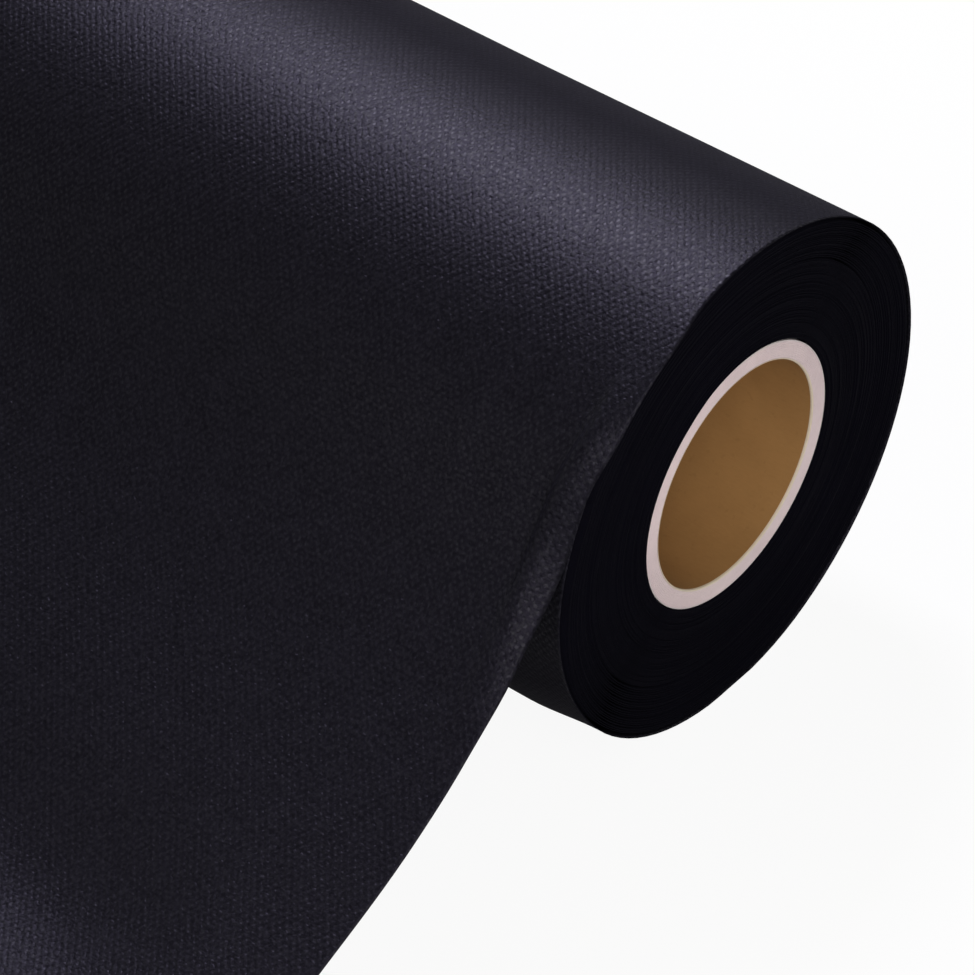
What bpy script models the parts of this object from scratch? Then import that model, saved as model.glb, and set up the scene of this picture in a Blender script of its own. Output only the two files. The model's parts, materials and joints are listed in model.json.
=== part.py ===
"""Roll of black nonwoven fabric on a paper core, with its free web laid out in front.

Metres, +Z up. +X runs along the roll to its photographed end and -Y is the way the web
is paid out. The origin is on the floor, under the middle of the roll. Outlines are drawn
in the plane of the roll's end, as (forward, up) points, where forward is -Y.
"""

import math

import bmesh
import bpy
import numpy as np

# Web
web_width = 1.0
web_thickness = 0.0004

# Roll, measured over its outermost turn
roll_radius = 0.0864
flat_depth = 0.0005
turn_gap = 0.0005
slack_layers = 20
core_forward = 0.0027
core_lift = 0.005

# Spiral wound core
core_bore_radius = 0.0381
liner_thickness = 0.0005
board_thickness = 0.0049
outer_ply_thickness = 0.0004

# Tape that holds the start of the web on the core
tape_width = 0.025
tape_thickness = 0.0002
tape_ramp = 0.002
tape_angle = math.radians(90)

# Free web, from the roll down to the floor
departure_angle = math.radians(30.5)
departure_pull = 0.0954
touchdown_distance = 0.36
touchdown_pull = 0.0957
landing_length = 0.03
free_end_length = 0.22

# Running gap between pieces that touch
seat_gap = 0.0003

# Facets
turn_steps = 96
tape_steps = 10
lead_steps = 28
smooth_angle = math.radians(30)

full_turn = 2 * math.pi
bottom_angle = math.radians(270)


def clear_scene():
    """Empties the scene that the part is built in."""
    for obj in list(bpy.data.objects):
        bpy.data.objects.remove(obj, do_unlink=True)


def turn_radius(angle):
    """Outer radius of the outermost turn, which winds inwards and ends under its own start."""
    wound = (angle - departure_angle) / full_turn
    return roll_radius - (web_thickness + turn_gap) * wound


# Radii and places that follow from the sizes above
liner_radius = core_bore_radius + liner_thickness
board_bore_radius = liner_radius + seat_gap
board_radius = board_bore_radius + board_thickness
outer_ply_bore_radius = board_radius + seat_gap
core_radius = outer_ply_bore_radius + outer_ply_thickness
pack_bore_radius = core_radius + seat_gap
tape_radius = pack_bore_radius + tape_thickness
tape_pocket_radius = tape_radius + seat_gap

roll_centre = np.array((0, turn_radius(bottom_angle) - flat_depth))
core_offset = np.array((core_forward, core_lift))
roll_axis = roll_centre + core_offset

slack_radius = turn_radius(departure_angle + full_turn) - web_thickness - seat_gap
slack_least_thickness = slack_layers * web_thickness
slack_bore_radius = slack_radius - np.linalg.norm(core_offset) - slack_least_thickness
pack_radius = slack_bore_radius - seat_gap

landing_end = touchdown_distance + landing_length
fold_line = np.array((landing_end + seat_gap / 2, web_thickness))


def circle_angles(steps):
    """Evenly spaced angles once round, measured from forward towards up."""
    return np.linspace(0, full_turn, steps, endpoint=False)


def round_points(radius, angles, centre=(0, 0)):
    """Points at those angles round a centre, at one radius or at one for each angle."""
    return np.array(centre) + np.column_stack((radius * np.cos(angles), radius * np.sin(angles)))


def lifted(points, floor):
    """The same points, with none of them below the floor."""
    return np.column_stack((points[:, 0], np.maximum(points[:, 1], floor)))


def lead_curve():
    """Middle of the web from the roll to the floor, and its upward normals.

    A cubic leaves the roll along its tangent and meets the floor along the floor.
    """
    middle_radius = roll_radius - web_thickness / 2
    outward = np.array((math.cos(departure_angle), math.sin(departure_angle)))
    tangent = np.array((math.sin(departure_angle), -math.cos(departure_angle)))
    start = roll_centre + middle_radius * outward
    end = np.array((touchdown_distance, web_thickness / 2))
    start_handle = start + departure_pull * tangent
    end_handle = end - np.array((touchdown_pull, 0))
    t = np.linspace(0, 1, lead_steps + 1)[:, None]
    points = (
        (1 - t) ** 3 * start
        + 3 * (1 - t) ** 2 * t * start_handle
        + 3 * (1 - t) * t**2 * end_handle
        + t**3 * end
    )
    slopes = (
        (1 - t) ** 2 * (start_handle - start)
        + 2 * (1 - t) * t * (end_handle - start_handle)
        + t**2 * (end - end_handle)
    )
    slopes /= np.linalg.norm(slopes, axis=1)[:, None]
    normals = np.column_stack((-slopes[:, 1], slopes[:, 0]))
    return points, normals


def web_sides():
    """Upper and lower side of the outer turn and the lead, from the landing to the turn's end."""
    middle, normals = lead_curve()
    lead_top = middle + normals * web_thickness / 2
    lead_bottom = middle - normals * web_thickness / 2
    angles = departure_angle + np.linspace(0, full_turn, turn_steps + 1)[1:]
    radii = turn_radius(angles)
    turn_outside = lifted(round_points(radii, angles, roll_centre), 0)
    turn_inside = lifted(round_points(radii - web_thickness, angles, roll_centre), web_thickness)
    landing_top = [(landing_end, web_thickness)]
    landing_bottom = [(landing_end, 0)]
    top = np.vstack((landing_top, lead_top[::-1], turn_outside))
    bottom = np.vstack((landing_bottom, lead_bottom[::-1], turn_inside))
    return top, bottom


def least_gap_to_itself(top, bottom):
    """Least gap between the outer turn's end and the web that leaves the roll above it."""
    last_quarter = top[-turn_steps // 4 :]
    leaving = bottom[: lead_steps + 2 + turn_steps // 4]
    starts, ends = leaving[:-1], leaving[1:]
    runs = ends - starts
    offsets = last_quarter[:, None] - starts[None]
    shares = np.clip((offsets * runs).sum(2) / (runs**2).sum(1), 0, 1)
    nearest = starts[None] + shares[..., None] * runs[None]
    return np.linalg.norm(last_quarter[:, None] - nearest, axis=2).min()


def make_material(name, color, roughness):
    """A plain surface in the part's own colour."""
    material = bpy.data.materials.new(name)
    material.use_nodes = True
    surface = material.node_tree.nodes["Principled BSDF"]
    surface.inputs["Base Color"].default_value = (*color, 1)
    surface.inputs["Roughness"].default_value = roughness
    surface.inputs["Metallic"].default_value = 0
    material.diffuse_color = (*color, 1)
    return material


def make_empty(name, place):
    """An empty on a joint's axis, which carries the pieces that move about it."""
    empty = bpy.data.objects.new(name, None)
    empty.location = (0, -place[0], place[1])
    bpy.context.scene.collection.objects.link(empty)
    return empty


def make_band(name, side, other_side, material, closed=False, parent=None):
    """A band between two rows of points, drawn at one end of the roll and extruded to the other."""
    bm = bmesh.new()
    rows = [
        [bm.verts.new((-web_width / 2, -forward, up)) for forward, up in row]
        for row in (side, other_side)
    ]
    count = len(rows[0])
    for index in range(count if closed else count - 1):
        following = (index + 1) % count
        bm.faces.new((rows[0][index], rows[0][following], rows[1][following], rows[1][index]))
    extruded = bmesh.ops.extrude_face_region(bm, geom=bm.faces[:])
    moved = [item for item in extruded["geom"] if isinstance(item, bmesh.types.BMVert)]
    bmesh.ops.translate(bm, verts=moved, vec=(web_width, 0, 0))
    bmesh.ops.recalc_face_normals(bm, faces=bm.faces[:])
    mesh = bpy.data.meshes.new(name)
    bm.to_mesh(mesh)
    bm.free()
    mesh.shade_smooth()
    mesh.set_sharp_from_angle(angle=smooth_angle)
    mesh.materials.append(material)
    obj = bpy.data.objects.new(name, mesh)
    obj.parent = parent
    bpy.context.scene.collection.objects.link(obj)
    return obj


def make_core(axis):
    """The spiral wound tube: a kraft liner in the bore, white board round it and a white outer ply."""
    angles = circle_angles(turn_steps)
    plies = (
        ("core_liner", core_bore_radius, liner_radius, (0.35, 0.185, 0.064), 0.8),
        ("core_board", board_bore_radius, board_radius, (0.82, 0.71, 0.7), 0.85),
        ("core_outer_ply", outer_ply_bore_radius, core_radius, (0.78, 0.7, 0.68), 0.7),
    )
    for name, inner, outer, color, roughness in plies:
        material = make_material(name, color, roughness)
        inside = round_points(inner, angles)
        outside = round_points(outer, angles)
        make_band(name, inside, outside, material, closed=True, parent=axis)


def make_start_tape(axis):
    """The strip of tape that holds the first turn of the web on the core."""
    half_angle = tape_width / 2 / pack_bore_radius
    angles = np.linspace(tape_angle - half_angle, tape_angle + half_angle, tape_steps)
    material = make_material("start_tape", (0.55, 0.45, 0.25), 0.4)
    under = round_points(pack_bore_radius, angles)
    over = round_points(tape_radius, angles)
    make_band("start_tape", under, over, material, parent=axis)


def make_pack(axis, fabric):
    """The tightly wound turns. They bulge over the tape and ramp down on each side of it."""
    pocket_half = (tape_width / 2 + seat_gap) / pack_bore_radius
    ramp_end = pocket_half + tape_ramp / pack_bore_radius
    over_tape = np.linspace(-pocket_half, pocket_half, tape_steps)
    round_core = np.linspace(ramp_end, full_turn - ramp_end, turn_steps)
    angles = tape_angle + np.concatenate((over_tape, round_core))
    bores = np.repeat((tape_pocket_radius, pack_bore_radius), (tape_steps, turn_steps))
    inside = round_points(bores, angles)
    outside = round_points(pack_radius, angles)
    make_band("fabric_pack", inside, outside, fabric, closed=True, parent=axis)


def make_slack_turns(fabric):
    """The turns that have worked loose: layer on layer at the front, and sagging at the back."""
    angles = circle_angles(turn_steps)
    inside = round_points(slack_bore_radius, angles, roll_axis)
    outside = round_points(slack_radius, angles, roll_centre)
    outside = lifted(outside, web_thickness + seat_gap)
    make_band("fabric_slack_turns", inside, outside, fabric, closed=True)


def make_outer_turn(fabric):
    """The outermost turn and the web that runs from it down to the floor, in one sheet."""
    top, bottom = web_sides()
    make_band("fabric_outer_turn", top, bottom, fabric)
    print(f"outer turn: least gap to itself {least_gap_to_itself(top, bottom)} m")


def make_free_end(fold, fabric):
    """The end of the web, flat on the floor past the line that it folds back on."""
    reach = np.array((seat_gap / 2, seat_gap / 2 + free_end_length))
    top = np.column_stack((reach, (0, 0)))
    bottom = np.column_stack((reach, (-web_thickness, -web_thickness)))
    make_band("fabric_free_end", top, bottom, fabric, parent=fold)


def main():
    """Builds the core, the wound web and the web that is paid out."""
    clear_scene()
    axis = make_empty("roll_axis", roll_axis)
    fold = make_empty("fold_line", fold_line)
    make_core(axis)
    make_start_tape(axis)
    make_pack(axis, make_material("packed_fabric", (0.006, 0.006, 0.007), 0.9))
    make_slack_turns(make_material("slack_fabric", (0.007, 0.007, 0.008), 0.9))
    make_outer_turn(make_material("web_fabric", (0.009, 0.009, 0.012), 0.65))
    make_free_end(fold, make_material("free_end_fabric", (0.009, 0.009, 0.012), 0.65))


main()
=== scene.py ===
"""Looks of a roll of black nonwoven fabric on a paper core, with its free web laid out in front.

Metres, +Z up. +X runs along the roll to its photographed end and -Y is the way the web is
paid out. Routes of the cloth are drawn in the plane of the roll's end, as (forward, up)
points, where forward is -Y.
"""

import json
import math

import bmesh
import bpy
import numpy as np
from mathutils import Matrix, Vector


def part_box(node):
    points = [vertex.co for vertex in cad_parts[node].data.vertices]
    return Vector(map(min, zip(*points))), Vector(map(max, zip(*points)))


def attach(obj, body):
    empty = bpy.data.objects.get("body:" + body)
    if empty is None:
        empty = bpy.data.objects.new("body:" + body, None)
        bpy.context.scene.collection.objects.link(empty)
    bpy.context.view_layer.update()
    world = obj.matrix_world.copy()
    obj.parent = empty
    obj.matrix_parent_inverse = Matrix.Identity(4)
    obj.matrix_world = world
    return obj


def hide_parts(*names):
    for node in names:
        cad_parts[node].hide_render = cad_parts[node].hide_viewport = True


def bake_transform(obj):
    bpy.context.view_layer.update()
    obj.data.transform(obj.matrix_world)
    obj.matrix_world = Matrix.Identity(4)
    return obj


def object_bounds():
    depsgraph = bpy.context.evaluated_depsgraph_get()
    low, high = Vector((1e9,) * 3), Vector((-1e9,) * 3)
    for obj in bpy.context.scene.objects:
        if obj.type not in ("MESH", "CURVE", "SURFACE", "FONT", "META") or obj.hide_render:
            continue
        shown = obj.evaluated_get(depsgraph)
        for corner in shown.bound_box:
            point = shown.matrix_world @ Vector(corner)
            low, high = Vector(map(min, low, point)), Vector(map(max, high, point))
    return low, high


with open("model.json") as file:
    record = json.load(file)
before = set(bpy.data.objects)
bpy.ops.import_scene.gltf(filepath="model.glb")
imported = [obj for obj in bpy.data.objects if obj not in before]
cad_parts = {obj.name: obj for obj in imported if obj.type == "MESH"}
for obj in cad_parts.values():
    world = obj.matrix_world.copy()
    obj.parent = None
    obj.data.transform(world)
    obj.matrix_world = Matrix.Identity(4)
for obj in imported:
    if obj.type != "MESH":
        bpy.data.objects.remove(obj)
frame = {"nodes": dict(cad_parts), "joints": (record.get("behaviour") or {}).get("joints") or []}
frame_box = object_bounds()
full_turn = 2 * math.pi

# Web
web_thickness = 0.0004
roll_radius = 0.0864
turn_gap = 0.0005
departure_angle = math.radians(30.5)
departure_pull = 0.0954
touchdown_distance = 0.36
touchdown_pull = 0.0957
fold_reach = 0.022

# Wound turns
layer_thickness = 0.00035
layer_pitch = 0.0004
slack_layers = 20
slack_bunching = 0.55
slack_bunches = 5.5
seat_gap = 0.0003
edge_wander = 0.00022
wander_lengths = (0.57, 0.91, 1.7, 3.9, 0.233)
core_run_off = 0.0007
edge_flare = 0.001
flare_width = 0.13
tape_angle = math.radians(90)
taped_length = 0.03

# The web's own shape, in heights over its smooth route
ridge_height = 0.0038
droop_depth = 0.0036
curl_width = 0.0086
curl_outer_share = 0.6
valley_width = 0.0045
ridge_left_on_lead = 0.3
ripple_height = 0.1
ripple_length = 0.038
ripple_start = 0.006
belly_depth = 0.0022
belly_edge_width = 0.028
wave_height = 0.0013
floor_calm = 0.4
gentle_waves = (  # share of the height, length across, length along, phase
    (1, 0.37, 0.61, 0.4),
    (0.7, 0.23, -0.43, 1.9),
    (0.4, 0.117, 0.9, 0.7),
)
sag_depth = 0.0066
sag_place = 0.178
sag_length = 0.024
sag_stray = 0.012
sag_stray_middle = 0.43
sag_stray_length = 0.9
sag_edge = (0.02, 0.09)
edge_lift_height = 0.0016
edge_lift_length = 0.17
edge_lift_slant = 3
tip_lift_height = 0.003
tip_lift_length = 0.31
tip_lift_phase = 1.1
tip_length = 0.055
corner_lift_height = 0.004
corner_size = 0.02

# How far the web's edges stray sideways
overhang_reach = 0.0016
tuck_reach = 0.0014
tail_tuck_reach = 0.0018
stray_reach = 0.0021
stray_settling = 0.6

# Stretches of the web, counted from where it leaves the roll: down it, or back round it below 0
ridge_rise, ridge_ebb, ridge_end = (-0.042, -0.016), (0.006, 0.05), (0.05, 0.09)
droop_rise, droop_end = (0.002, 0.022), (0.035, 0.085)
overhang_rise, overhang_end = (-0.07, -0.05), (-0.022, -0.002)
tuck_rise, tuck_end = (-0.022, 0.016), (0.034, 0.062)
tail_tuck_end = (-0.5, -0.43)
stray_rise, stray_ebb = (0.035, 0.1), (0.11, 0.165)
belly_rise, belly_end = (-0.5, -0.44), (-0.425, -0.375)
flare_rise, flare_end = (-0.365, -0.325), (-0.01, 0.03)
loose_rise = (0.015, 0.12)
floor_rise = (0.24, 0.33)

# Core
core_bore_radius = 0.0381
liner_thickness = 0.0005
liner_strip_width = 0.11
liner_lead = 0.24
liner_seam_width = 0.0009
board_plies = 9
ply_groove = 0.00012
ply_crown = (0.25, 0.8)
lip_radius = 0.00045
wrap_bevel = 0.0001
cut_depth = 0.0008

# Steps and facets
along_step = 0.0045
across_step = 0.0105
edge_first_step = 0.0012
edge_curl_width = 0.017
edge_step_growth = 1.28
turn_steps = 96
core_steps = 144
bore_steps = 12
lip_steps = 5
sharp_angle = math.radians(35)

# Floor
floor_size = 20
floor_gap = 0.0004


def frame_span(node, axis):
    """Lowest and highest place of a node along one axis."""
    low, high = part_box(node)
    return low[axis], high[axis]


# Places and sizes that the frame gives
joints = {joint["name"]: joint for joint in frame["joints"]}
roll_axis = np.array((-joints["roll_turn"]["pos_m"][1], joints["roll_turn"]["pos_m"][2]))
fold_line = Vector(joints["free_end_fold"]["pos_m"])
far_edge, near_edge = frame_span("fabric_outer_turn", 0)
web_width = near_edge - far_edge
free_end_tip = -frame_span("fabric_free_end", 1)[0]
slack_back, slack_front = frame_span("fabric_slack_turns", 1)
slack_radius = (slack_front - slack_back) / 2
slack_top = frame_span("fabric_slack_turns", 2)[1]
roll_centre = np.array((-(slack_front + slack_back) / 2, slack_top - slack_radius))
pack_radius = frame_span("fabric_pack", 2)[1] - roll_axis[1]
core_radius = frame_span("core_outer_ply", 2)[1] - roll_axis[1]
board_radius = frame_span("core_board", 2)[1] - roll_axis[1]
liner_radius = core_bore_radius + liner_thickness
slack_bore_radius = pack_radius + seat_gap
pack_bore_radius = core_radius + seat_gap


# Camera

def make_camera():
    """The photograph's view: level, seen from in front of the roll's near end and from above."""
    azimuth, elevation = math.radians(39.168), math.radians(42.163)
    lens, sensor, picture_size = 185, 36, 975
    end_distance = 1.5046
    end_pixel = (741.55, 483.21)
    back = Vector((
        math.sin(azimuth) * math.cos(elevation),
        -math.cos(azimuth) * math.cos(elevation),
        math.sin(elevation),
    ))
    right = Vector((math.cos(azimuth), math.sin(azimuth), 0))
    up = back.cross(right)
    metres_per_pixel = end_distance * sensor / lens / picture_size
    aside = (end_pixel[0] - picture_size / 2) * metres_per_pixel
    above = (picture_size / 2 - end_pixel[1]) * metres_per_pixel
    end_centre = Vector((near_edge, -roll_centre[0], roll_centre[1]))
    data = bpy.data.cameras.new("camera")
    data.lens = lens
    data.sensor_width = sensor
    camera = bpy.data.objects.new("camera", data)
    turned = Matrix((right, up, back)).transposed().to_4x4()
    camera.matrix_world = Matrix.Translation(
        end_centre + end_distance * back - aside * right - above * up
    ) @ turned
    bpy.context.scene.collection.objects.link(camera)
    bpy.context.scene.camera = camera


# Finishes

class Wire:
    """The output of a shader node, which sums and products can be written with."""

    def __init__(self, finish, socket):
        self.finish = finish
        self.socket = socket

    def __add__(self, other):
        return self.finish.maths("ADD", self, other)

    def __radd__(self, other):
        return self.finish.maths("ADD", other, self)

    def __sub__(self, other):
        return self.finish.maths("SUBTRACT", self, other)

    def __rsub__(self, other):
        return self.finish.maths("SUBTRACT", other, self)

    def __mul__(self, other):
        return self.finish.maths("MULTIPLY", self, other)

    def __rmul__(self, other):
        return self.finish.maths("MULTIPLY", other, self)

    def __truediv__(self, other):
        return self.finish.maths("DIVIDE", self, other)

    def __rtruediv__(self, other):
        return self.finish.maths("DIVIDE", other, self)

    def cosine(self):
        return self.finish.maths("COSINE", self)

    def within_one(self):
        return self.finish.maths("ADD", self, 0, use_clamp=True)


class Finish:
    """The nodes of a material or of the world, made from Python expressions."""

    def __init__(self, owner, **constants):
        owner.use_nodes = True
        self.material = owner
        self.tree = owner.node_tree
        self.surface = self.tree.nodes.get("Principled BSDF")
        for socket, value in constants.items():
            self.surface.inputs[socket.replace("_", " ")].default_value = value

    def node(self, kind, settings=None, inputs=None, output=0):
        """Any node: its settings are set first, and then its sockets get values or wires."""
        node = self.tree.nodes.new(kind)
        for name, value in (settings or {}).items():
            setattr(node, name, value)
        for name, value in (inputs or {}).items():
            self.feed(node.inputs[name], value)
        return Wire(self, node.outputs[output])

    def feed(self, socket, value):
        if isinstance(value, Wire):
            self.tree.links.new(value.socket, socket)
        else:
            socket.default_value = value

    def maths(self, operation, *values, use_clamp=False):
        settings = {"operation": operation, "use_clamp": use_clamp}
        return self.node("ShaderNodeMath", settings, dict(enumerate(values)))

    def ramp(self, value, low, high):
        """0 at the low value and 1 at the high one, with a soft step between them."""
        inputs = {"Value": value, "From Min": low, "From Max": high}
        return self.node("ShaderNodeMapRange", {"interpolation_type": "SMOOTHSTEP"}, inputs)

    def mix(self, share, low, high):
        """One colour at share 0 and the other at share 1."""
        inputs = {0: share, 6: (*low, 1), 7: (*high, 1)}
        return self.node("ShaderNodeMix", {"data_type": "RGBA"}, inputs, output=2)

    def noise(self, place, scale, detail=2, roughness=0.5, output=0):
        inputs = {"Vector": place, "Scale": scale, "Detail": detail, "Roughness": roughness}
        return self.node("ShaderNodeTexNoise", None, inputs, output)

    def stretched(self, place, scale, rotation=(0, 0, 0)):
        inputs = {"Vector": place, "Scale": scale, "Rotation": rotation}
        return self.node("ShaderNodeMapping", None, inputs)

    def parts(self, vector):
        """The three numbers of a vector."""
        split = self.node("ShaderNodeSeparateXYZ", None, {"Vector": vector})
        return [Wire(self, output) for output in split.socket.node.outputs]

    def cloth_place(self):
        return self.node("ShaderNodeUVMap", {"uv_map": "cloth"})

    def object_place(self):
        return self.node("ShaderNodeTexCoord", output="Object")

    def relief(self, height, distance):
        """Raises the surface by up to that distance where the height is 1."""
        normal = self.node("ShaderNodeBump", None, {"Height": height, "Distance": distance})
        self.feed(self.surface.inputs["Normal"], normal)

    def set(self, socket, value):
        self.feed(self.surface.inputs[socket], value)


def new_finish(name, **constants):
    """A new material with one surface shader."""
    return Finish(bpy.data.materials.new(name), **constants)


def fabric_finish(name, color, lifted_color):
    """Black spunbond: oval bonded points in a staggered pattern, and a felt of fine fibres."""
    pitch_across, pitch_along = 0.0025, 0.0033
    scatter_across, scatter_along = 0.0015, 0.0019
    least_rough, most_rough, fuzz_rough = 0.35, 0.475, 0.8
    fuzz_start, fuzz_full = 0.38, 0.68
    finish = new_finish(
        name, Specular_IOR_Level=0.19, Specular_Tint=(0.76, 0.69, 1.0, 1), Coat_Roughness=0.42
    )
    place = finish.cloth_place()
    across, along, _ = finish.parts(place)
    shift = finish.parts(finish.noise(place, 520, output="Color"))
    across = across + (shift[0] - 0.5) * scatter_across
    along = along + (shift[1] - 0.5) * scatter_along
    wave = (across * (full_turn / pitch_across)).cosine()
    wave = wave * (along * (full_turn / pitch_along)).cosine()
    points = finish.ramp(wave, 0.1, 0.8)
    pressed = points * (0.35 + shift[2] * 1.3)
    felt = finish.noise(finish.stretched(place, (1, 0.55, 1), (0, 0, 0.5)), 1050, 3, 0.6)
    crossed = finish.noise(finish.stretched(place, (0.5, 1, 1), (0, 0, 0.3)), 800, 3, 0.6)
    clouds = finish.noise(place, 95, 4, 0.6)
    fibres = (felt + crossed) * 0.5
    share = (clouds * 0.8 + fibres * 2.2 + pressed * 0.25 - 1.15).within_one()
    finish.set("Base Color", finish.mix(share, color, lifted_color))
    facing = finish.node("ShaderNodeLayerWeight", None, {"Blend": 0.5}, output="Facing")
    fuzz = finish.ramp(facing, fuzz_start, fuzz_full)
    rough = most_rough - pressed * (most_rough - least_rough) + (fibres - 0.5) * 0.4
    finish.set("Roughness", rough + (fuzz_rough - rough) * fuzz)
    finish.set("Coat Weight", (pressed * 0.13 + fibres * 1.3 - 0.62).within_one() * (1 - fuzz))
    finish.relief(fibres * 1.6 + clouds * 0.45 - wave * 0.12 - pressed * 0.24, 0.0003)
    return finish.material


def edge_finish(name, color, lifted_color):
    """The wound turns seen at their cut edges, and their faces where a gap shows them."""
    finish = new_finish(name, Specular_IOR_Level=0.05)
    place = finish.object_place()
    tufts = finish.noise(place, 900, 3, 0.7)
    patches = finish.noise(place, 28, 3, 0.6)
    share = (tufts * 0.7 + patches * 0.6 - 0.25).within_one()
    finish.set("Base Color", finish.mix(share, color, lifted_color))
    finish.set("Roughness", 0.75 + tufts * 0.25)
    finish.relief(tufts, 0.0003)
    return finish.material


def helix_seam(finish, place, strip_width, lead, seam_width):
    """1 along the butt joint of a spiral wound ply, and 0 beside it."""
    along, back, up = finish.parts(place)
    angle = finish.maths("ARCTAN2", up - roll_axis[1], back + roll_axis[0])
    turns = angle / full_turn + along / lead
    place_in_strip = finish.maths("FRACT", turns)
    off_seam = finish.maths("ABSOLUTE", place_in_strip - 0.5)
    return finish.ramp(off_seam, seam_width / strip_width, 0)


def paper_finish(name, color, marked_color, specular=0.3, grain=0.00006, seam=None):
    """Core paper: a matt sheet with fine fibres, faint patches and a few darker flecks."""
    finish = new_finish(name, Specular_IOR_Level=specular)
    place = finish.object_place()
    fibres = finish.noise(finish.stretched(place, (0.25, 1, 1)), 1500, 4, 0.7)
    patches = finish.noise(place, 60, 4, 0.65)
    flecks = finish.ramp(finish.noise(place, 420), 0.64, 0.72)
    share = (patches * 1.1 + fibres * 0.5 - 0.45 + flecks * 0.25).within_one()
    height = fibres * 0.6 + patches * 0.4
    if seam:
        joint = helix_seam(finish, place, *seam)
        share = (share + joint * 0.6).within_one()
        height = height - joint * 3
    finish.set("Base Color", finish.mix(share, color, marked_color))
    finish.set("Roughness", 0.7 + fibres * 0.25)
    finish.relief(height, grain)
    return finish.material


def tape_finish():
    """Creped masking tape."""
    finish = new_finish("masking_tape", Specular_IOR_Level=0.35)
    place = finish.object_place()
    crepe = finish.noise(finish.stretched(place, (1, 0.2, 0.2)), 1400, 2, 0.6)
    patches = finish.noise(place, 80, 3)
    finish.set("Base Color", finish.mix(patches, (0.5, 0.38, 0.19), (0.62, 0.52, 0.31)))
    finish.set("Roughness", 0.45 + crepe * 0.25)
    finish.relief(crepe, 0.00008)
    return finish.material


# Cloth

def arc(radius, angles, centre):
    """Points at those angles round a centre, measured from forward towards up."""
    return centre + np.column_stack((radius * np.cos(angles), radius * np.sin(angles)))


def kept_above(points, height):
    """The same points, pressed up to the height where they would lie lower."""
    return np.column_stack((points[:, 0], np.maximum(points[:, 1], height)))


def straight_run(start, end, step):
    """Points a step apart from the start to just before the end."""
    count = round(float(np.linalg.norm(end - start)) / step)
    shares = np.arange(count)[:, None] / count
    return start + shares * (end - start)


def free_run():
    """Middle of the web from its cut end over the floor and up to where it leaves the roll."""
    middle_radius = roll_radius - web_thickness / 2
    leaving = arc(middle_radius, np.array((departure_angle,)), roll_centre)[0]
    downward = np.array((math.sin(departure_angle), -math.cos(departure_angle)))
    leaving_handle = leaving + departure_pull * downward
    touchdown = np.array((touchdown_distance, web_thickness / 2))
    touchdown_handle = touchdown - np.array((touchdown_pull, 0))
    count = round(float(np.linalg.norm(leaving - touchdown)) / along_step)
    t = np.linspace(0, 1, count + 1)[:-1, None]
    curve = (
        (1 - t) ** 3 * touchdown
        + 3 * (1 - t) ** 2 * t * touchdown_handle
        + 3 * (1 - t) * t**2 * leaving_handle
        + t**3 * leaving
    )
    tip = np.array((free_end_tip, web_thickness / 2))
    hinge = np.array((-fold_line.y, web_thickness / 2))
    past_fold = hinge + np.array((fold_reach, 0))
    floor_runs = [
        straight_run(tip, past_fold, along_step),
        straight_run(past_fold, hinge, along_step / 3),
        straight_run(hinge, touchdown, along_step),
    ]
    return np.vstack((*floor_runs, curve))


def outer_turn():
    """Middle of the outermost turn, which winds inwards and ends under its own start."""
    angles = departure_angle + np.linspace(0, full_turn, turn_steps + 1)
    radii = roll_radius - (web_thickness + turn_gap) * (angles - departure_angle) / full_turn
    points = arc(radii - web_thickness / 2, angles, roll_centre)
    return kept_above(points, web_thickness / 2)


def slack_route():
    """Middle of the turns that have worked loose: close together at the top front, apart behind."""
    turns = np.linspace(0, slack_layers, slack_layers * turn_steps + 1)
    angles = departure_angle + full_turn * turns
    outside = arc(slack_radius - layer_thickness / 2, angles, roll_centre)
    inside = arc(slack_bore_radius + layer_thickness / 2, angles, roll_axis)
    room = np.linalg.norm(outside - inside, axis=1)
    spare = 1 - room.min() / room
    bunched = np.sin(full_turn * turns * slack_bunches / slack_layers)
    wave = slack_bunching * spare * bunched * slack_layers / (full_turn * slack_bunches)
    shares = ((turns + wave) / slack_layers)[:, None]
    lowest = web_thickness + seat_gap + layer_thickness / 2
    return kept_above(outside + shares * (inside - outside), lowest)


def pack_route():
    """Middle of the tightly wound turns, from the outermost inwards to the tape on the core."""
    layers = math.floor((pack_radius - pack_bore_radius - layer_thickness) / layer_pitch)
    turns = np.linspace(0, layers, layers * turn_steps + 1)
    radii = pack_radius - layer_thickness / 2 - layer_pitch * turns
    return arc(radii, tape_angle + full_turn * turns, roll_axis)


def edge_columns():
    """Distances from the web's edge: close together in its curl, then as wide as the middle's."""
    distances = list(np.arange(0, edge_curl_width, edge_first_step))
    step = edge_first_step
    while step < across_step:
        distances.append(distances[-1] + step)
        step *= edge_step_growth
    return np.array(distances)


def web_columns():
    """Places across the web, finer towards both edges."""
    from_edge = edge_columns()
    middle_count = round((web_width - 2 * from_edge[-1]) / across_step)
    middle = np.linspace(far_edge + from_edge[-1], near_edge - from_edge[-1], middle_count + 1)
    return np.concatenate((far_edge + from_edge[:-1], middle, (near_edge - from_edge[:-1])[::-1]))


def route_lengths(route):
    """Distance along the route to each of its points."""
    steps = np.linalg.norm(np.diff(route, axis=0), axis=1)
    return np.concatenate(((0,), np.cumsum(steps)))


def route_normals(route):
    """Outward direction at each point of a route that runs towards the roll and over its top."""
    runs = np.gradient(route, axis=0)
    runs /= np.linalg.norm(runs, axis=1)[:, None]
    return np.column_stack((runs[:, 1], -runs[:, 0]))


def wander(lengths, phase):
    """How far the wound web's edges stray sideways along its length."""
    waves = sum(
        np.sin(full_turn * lengths / wavelength + phase + index)
        for index, wavelength in enumerate(wander_lengths)
    )
    return edge_wander * waves / 2


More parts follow.
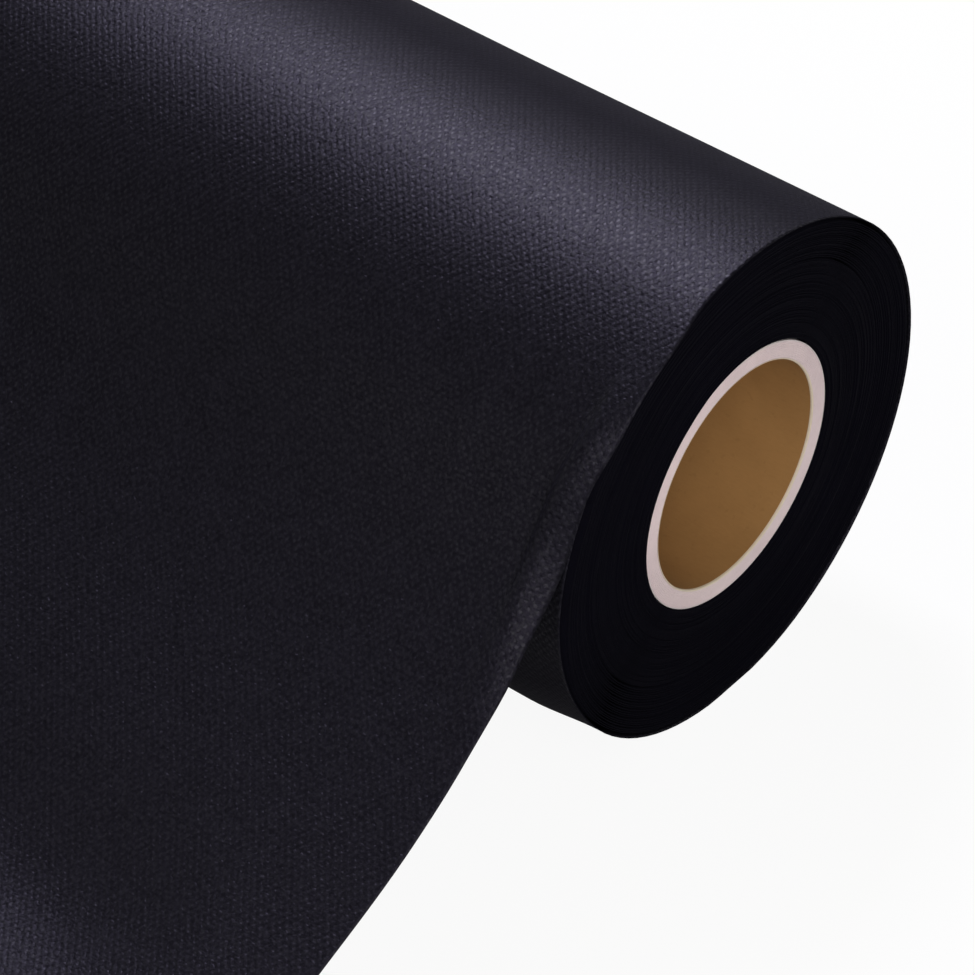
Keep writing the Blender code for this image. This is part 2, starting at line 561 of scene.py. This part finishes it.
def lay_cloth(name, route, columns, lift, sideways, thickness, finishes):
    """A sheet laid along a route: a flat grid whose rows go to the route's points."""
    lengths, normals = route_lengths(route), route_normals(route)
    rows, places = len(route), len(columns)
    bm = bmesh.new()
    cloth = bm.loops.layers.uv.new("cloth")
    bmesh.ops.create_grid(bm, x_segments=rows - 1, y_segments=places - 1, size=0.5)
    for vert in bm.verts:
        row = round((vert.co.x + 0.5) * (rows - 1))
        column = round((vert.co.y + 0.5) * (places - 1))
        place = columns[column]
        forward, up = route[row] + normals[row] * lift(row, place)
        vert.co = (place + sideways[row], -forward, up)
        for loop in vert.link_loops:
            loop[cloth].uv = (place, lengths[row])
    bm.faces.ensure_lookup_table()
    first = bm.faces[0]
    first.normal_update()
    row_normal = Vector((0, -normals[0][0], normals[0][1]))
    if first.normal.dot(row_normal) < 0:
        bmesh.ops.reverse_faces(bm, faces=bm.faces[:])
    piece = finished_piece(name, bm, finishes)
    solid = piece.modifiers.new("thickness", "SOLIDIFY")
    solid.thickness = thickness
    solid.offset = 0
    solid.use_even_offset = False
    if len(finishes) > 1:
        solid.material_offset_rim = 1
    return piece


def finished_piece(name, bm, finishes):
    """Turns a modelled shape into a smooth shaded object with its finishes."""
    mesh = bpy.data.meshes.new(name)
    bm.to_mesh(mesh)
    bm.free()
    mesh.shade_smooth()
    mesh.set_sharp_from_angle(angle=sharp_angle)
    for finish in finishes:
        mesh.materials.append(finish)
    piece = bpy.data.objects.new(name, mesh)
    bpy.context.scene.collection.objects.link(piece)
    return piece


def smooth_share(values, low, high):
    """0 below the low value, 1 above the high one and a soft step between them."""
    shares = np.clip((np.asarray(values, float) - low) / (high - low), 0, 1)
    return shares * shares * (3 - 2 * shares)


def stretch_share(values, rise, end):
    """1 along a stretch, with a soft step at each of its ends."""
    return smooth_share(values, *rise) * (1 - smooth_share(values, *end))


def distance_from_edge(place):
    """Distance across the web to its nearer edge."""
    return min(near_edge - place, place - far_edge)


def flare(place, run):
    """How far the turns stand out towards the web's edges, over the roll's top and back."""
    near_share = max(0, 1 - distance_from_edge(place) / flare_width)
    return edge_flare * near_share * float(stretch_share(run, flare_rise, flare_end))


def curl_share(from_edge):
    """How much of its height the curled edge has there: least on the edge, all of it inside."""
    return float(smooth_share(from_edge, -curl_outer_share * curl_width, curl_width))


def make_web(fabric, edge):
    """The free web and the outermost turn, one unbroken sheet."""
    free = free_run()
    route = np.vstack((free, outer_turn()))
    lengths = route_lengths(route)
    departure = lengths[len(free)]
    runs = departure - lengths
    ridge_share = smooth_share(runs, *ridge_rise)
    ridge_share *= 1 - (1 - ridge_left_on_lead) * smooth_share(runs, *ridge_ebb)
    ridge_share *= 1 - smooth_share(runs, *ridge_end)
    droop_share = stretch_share(runs, droop_rise, droop_end)
    along_ripple = np.cos(full_turn * (runs + ripple_start) / ripple_length)
    ripple = 1 - ripple_height + ripple_height * along_ripple
    belly = belly_depth * stretch_share(runs, belly_rise, belly_end)
    floor_share = smooth_share(runs, *floor_rise)
    wave_heights = wave_height * smooth_share(runs, *loose_rise) * (1 - floor_calm * floor_share)
    wave_reach = sum(height for height, *_ in gentle_waves)
    tip_share = 1 - smooth_share(lengths, 0, tip_length)
    edge_curl = curl_share(0)

    def lift(row, place):
        run, from_edge = runs[row], distance_from_edge(place)
        curl = curl_share(from_edge)
        valley = float(smooth_share(from_edge, curl_width, curl_width + valley_width))
        ridge = ridge_height * ((curl - edge_curl) / (1 - edge_curl) - valley)
        droop = droop_depth * (1 - curl) / (1 - edge_curl)
        edge_lift = ridge_share[row] * ridge - droop_share[row] * droop
        waves = sum(
            height * math.sin(full_turn * (place / across + run / along) + phase)
            for height, across, along, phase in gentle_waves
        )
        settled = wave_heights[row] * (waves + wave_reach) / 2
        sag_swing = math.sin(full_turn * (place - sag_stray_middle) / sag_stray_length)
        off_sag = run - sag_place - sag_stray * sag_swing
        sag = sag_depth * math.exp(-((off_sag / sag_length) ** 2) / 2)
        inner_sag = sag * float(smooth_share(from_edge, *sag_edge))
        inner_belly = belly[row] * float(smooth_share(from_edge, 0, belly_edge_width))
        by_edge = math.exp(-from_edge / corner_size)
        edge_phase = full_turn * run / edge_lift_length + edge_lift_slant * place
        tip_phase = full_turn * place / tip_lift_length + tip_lift_phase
        loose_edge = edge_lift_height * (1 + math.sin(edge_phase)) / 2
        loose_tip = tip_lift_height * (1 + math.sin(tip_phase)) / 2
        loose = floor_share[row] * by_edge * loose_edge
        loose += tip_share[row] * (loose_tip + by_edge * corner_lift_height)
        lifts = settled + ripple[row] * edge_lift - inner_sag + inner_belly + loose
        return lifts + flare(place, run)

    sideways = wander(lengths, phase=0.3)
    sideways += overhang_reach * stretch_share(runs, overhang_rise, overhang_end)
    sideways -= tuck_reach * stretch_share(runs, tuck_rise, tuck_end)
    sideways -= tail_tuck_reach * (1 - smooth_share(runs, *tail_tuck_end))
    settling = 1 - stray_settling * smooth_share(runs, *stray_ebb)
    sideways += stray_reach * smooth_share(runs, *stray_rise) * settling
    web = lay_cloth(
        "nonwoven_web", route, web_columns(), lift, sideways, web_thickness, (fabric, edge)
    )
    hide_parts("fabric_outer_turn", "fabric_free_end")
    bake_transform(web)


def wound_columns():
    """Places across a wound turn: its edges, and where they stop standing out."""
    return np.array((far_edge, far_edge + flare_width, near_edge - flare_width, near_edge))


def make_wound_turns(name, route, body, node, edge, phase, run_off=0, flared=0):
    """Turns wound on the roll, as one long strip that shows its layers at both ends.

    The innermost turns may run off sideways, apart from the stretch that is taped down. Flared
    turns stand out with the web that lies on them, the more so the nearer they are to it.
    """
    lengths = route_lengths(route)
    off_start = smooth_share(lengths[-1] - lengths, 0, taped_length)
    sideways = wander(lengths, phase) + run_off * (lengths / lengths[-1]) ** 3 * off_start
    turn_runs = -(np.arange(len(route)) % turn_steps) * full_turn * roll_radius / turn_steps

    def lift(row, place):
        return flared * (1 - row / len(route)) * flare(place, turn_runs[row])

    piece = lay_cloth(name, route, wound_columns(), lift, sideways, layer_thickness, (edge,))
    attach(piece, body)
    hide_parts(node)


# Core

def turned_tube(name, profile, finishes, node):
    """A closed ring of (along, radius) points turned once round the roll's axis.

    A second finish goes on its two ends.
    """
    bm = bmesh.new()
    verts = [bm.verts.new((along, -roll_axis[0], roll_axis[1] + radius)) for along, radius in profile]
    edges = [bm.edges.new((verts[index - 1], verts[index])) for index in range(len(verts))]
    bmesh.ops.spin(
        bm, geom=verts + edges, cent=(0, -roll_axis[0], roll_axis[1]), axis=(1, 0, 0),
        angle=full_turn, steps=core_steps, use_merge=True,
    )
    bmesh.ops.recalc_face_normals(bm, faces=bm.faces[:])
    for face in bm.faces:
        from_end = near_edge - abs(face.calc_center_median().x)
        face.material_index = int(len(finishes) > 1 and from_end < cut_depth)
    piece = finished_piece(name, bm, finishes)
    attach(piece, "roll")
    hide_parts(node)


def both_ends(half_profile):
    """A profile given from the bore round the near end to the outside, closed over the far end."""
    middle = (near_edge + far_edge) / 2
    mirrored = [(2 * middle - along, radius) for along, radius in reversed(half_profile)]
    return half_profile + mirrored


def make_core():
    """The spiral wound tube: kraft liner, white board with its plies showing, smooth outer ply."""
    kraft = paper_finish(
        "kraft_liner", (0.455, 0.243, 0.086), (0.34, 0.176, 0.06), specular=0.2, grain=0.00008,
        seam=(liner_strip_width, liner_lead, liner_seam_width),
    )
    cut_kraft = paper_finish("kraft_cut_lip", (0.86, 0.76, 0.6), (0.74, 0.6, 0.42))
    board = paper_finish(
        "core_board_cut", (0.9, 0.755, 0.745), (0.72, 0.585, 0.59), grain=0.00015
    )
    outer = paper_finish("core_outer_ply", (0.8, 0.72, 0.7), (0.72, 0.64, 0.62))
    lip_centre = (near_edge - lip_radius, core_bore_radius + lip_radius)
    lip = [
        (lip_centre[0] + lip_radius * math.sin(angle), lip_centre[1] - lip_radius * math.cos(angle))
        for angle in np.linspace(0, math.pi / 2, lip_steps)
    ]
    bore_places = np.linspace(0, near_edge - cut_depth, bore_steps)[1:]
    bore_rows = [(along, core_bore_radius) for along in bore_places]
    liner = bore_rows + lip + [(near_edge, liner_radius)]
    turned_tube("core_liner_tube", both_ends(liner), (kraft, cut_kraft), "core_liner")
    ply = (board_radius + seat_gap - liner_radius) / board_plies
    board_end = []
    for index in range(board_plies):
        inner = liner_radius + index * ply
        board_end += [
            (near_edge - ply_groove, inner),
            (near_edge, inner + ply_crown[0] * ply),
            (near_edge, inner + ply_crown[1] * ply),
        ]
    board_end.append((near_edge - ply_groove, liner_radius + board_plies * ply))
    turned_tube("core_board_tube", both_ends(board_end), (board,), "core_board")
    outer_end = [
        (near_edge, board_radius + seat_gap),
        (near_edge, core_radius - wrap_bevel),
        (near_edge - wrap_bevel, core_radius),
    ]
    turned_tube("core_outer_wrap", both_ends(outer_end), (outer,), "core_outer_ply")


# Stage

def distance_from_roll(finish):
    """Distance over the floor from the box that holds the roll and its free web."""
    place = finish.parts(finish.object_place())
    squares = 0
    for axis, low, high in zip((0, 1), *frame_box):
        off_middle = finish.maths("ABSOLUTE", place[axis] - (low + high) / 2)
        outside = finish.maths("MAXIMUM", off_middle - (high - low) / 2, 0)
        squares = squares + outside * outside
    return finish.maths("SQRT", squares)


def make_floor():
    """A white floor that keeps the roll's shadow and is part of the white backdrop further off."""
    bm = bmesh.new()
    bmesh.ops.create_grid(bm, x_segments=1, y_segments=1, size=floor_size)
    finish = new_finish("white_floor")
    tree = finish.tree
    tree.nodes.remove(finish.surface)
    rays = finish.node("ShaderNodeLightPath").socket.node
    camera, gloss, glass = (
        Wire(finish, rays.outputs[f"Is {kind} Ray"]) for kind in ("Camera", "Glossy", "Transmission")
    )
    lighting_grey, seen_grey = 0.42, 0.95
    shadow_share, gloss_share = 0.08, 0.08
    fade_start, fade_end = 0.04, 0.32
    color = finish.mix(camera, (lighting_grey,) * 3, (seen_grey,) * 3)
    matt = finish.node("ShaderNodeBsdfDiffuse", None, {"Color": color})
    white = finish.node("ShaderNodeEmission", None, {"Color": (1, 1, 1, 1), "Strength": 1.0})
    further = finish.ramp(distance_from_roll(finish), fade_start, fade_end)
    bare = (1 - shadow_share) + further * shadow_share
    share = (camera * bare + (gloss + glass) * gloss_share).within_one()
    mixed = finish.node("ShaderNodeMixShader", None, {0: share, 1: matt, 2: white})
    tree.links.new(mixed.socket, tree.nodes["Material Output"].inputs["Surface"])
    floor = finished_piece("floor", bm, (finish.material,))
    floor.location.z = -floor_gap


def make_world():
    """A studio that is white at the horizon and dims overhead."""
    white_height, dim_height, dimming = 0.12, 0.2, 0.82
    world = bpy.data.worlds.new("studio")
    bpy.context.scene.world = world
    studio = Finish(world)
    height = studio.parts(studio.node("ShaderNodeTexCoord", output="Generated"))[2]
    level = 1 - studio.ramp(height, white_height, dim_height) * dimming
    light = studio.node("ShaderNodeBackground", None, {"Color": (1, 1, 1, 1), "Strength": level})
    output = next(node for node in studio.tree.nodes if node.type == "OUTPUT_WORLD")
    studio.tree.links.new(light.socket, output.inputs["Surface"])


def make_lamp(name, size, color, light, direction, target, distance):
    """A soft box at a distance from its target, with its short side along the roll's axis."""
    data = bpy.data.lights.new(name, "AREA")
    data.shape = "RECTANGLE"
    data.size, data.size_y = size
    data.energy = light * math.pi * distance**2
    data.color = color
    toward = Vector(direction).normalized()
    beside = (Vector((1, 0, 0)) - toward.x * toward).normalized()
    turned = Matrix((beside, toward.cross(beside), toward)).transposed().to_4x4()
    lamp = bpy.data.objects.new(name, data)
    lamp.matrix_world = Matrix.Translation(Vector(target) + distance * toward) @ turned
    lamp.visible_camera = False
    bpy.context.scene.collection.objects.link(lamp)


def make_lamps():
    """A soft box over the back of the roll, one off its near end and a weak one in front of it."""
    key_angle, key_aside = math.radians(116.5), 0.468
    in_plane = math.sqrt(1 - key_aside**2)
    over_back = (-key_aside, -in_plane * math.cos(key_angle), in_plane * math.sin(key_angle))
    cool, warm = (0.87, 0.85, 1.0), (1.0, 0.985, 0.97)
    make_lamp(
        "key", size=(0.3, 0.44), color=cool, light=2.76,
        direction=over_back, target=(0.42, 0, 0.17), distance=1.3,
    )
    make_lamp(
        "fill", size=(0.56, 0.56), color=warm, light=1.74,
        direction=(0.67, -0.49, 0.56), target=(0.49, -0.05, 0.1), distance=0.75,
    )
    make_lamp(
        "front", size=(0.12, 0.12), color=warm, light=0.15,
        direction=(-0.468, -0.848, 0.253), target=(0.5, -0.08, 0.13), distance=0.3,
    )


def main():
    """Dresses the frame and sets the stage."""
    make_camera()
    fabric = fabric_finish("spunbond", (0.0012, 0.0012, 0.0018), (0.0082, 0.0078, 0.0114))
    edges = edge_finish("cut_edges", (0.0015, 0.0013, 0.0030), (0.0044, 0.0040, 0.0086))
    make_core()
    make_wound_turns(
        "wound_pack", pack_route(), "roll", "fabric_pack", edges,
        phase=2.3, run_off=core_run_off,
    )
    make_wound_turns(
        "slack_turns", slack_route(), "web", "fabric_slack_turns", edges,
        phase=1.1, flared=1,
    )
    make_web(fabric, edges)
    tape = frame["nodes"]["start_tape"]
    for slot in tape.material_slots:
        slot.material = tape_finish()
    make_floor()
    make_world()
    make_lamps()
    bpy.context.scene.view_settings.view_transform = "Standard"


main()
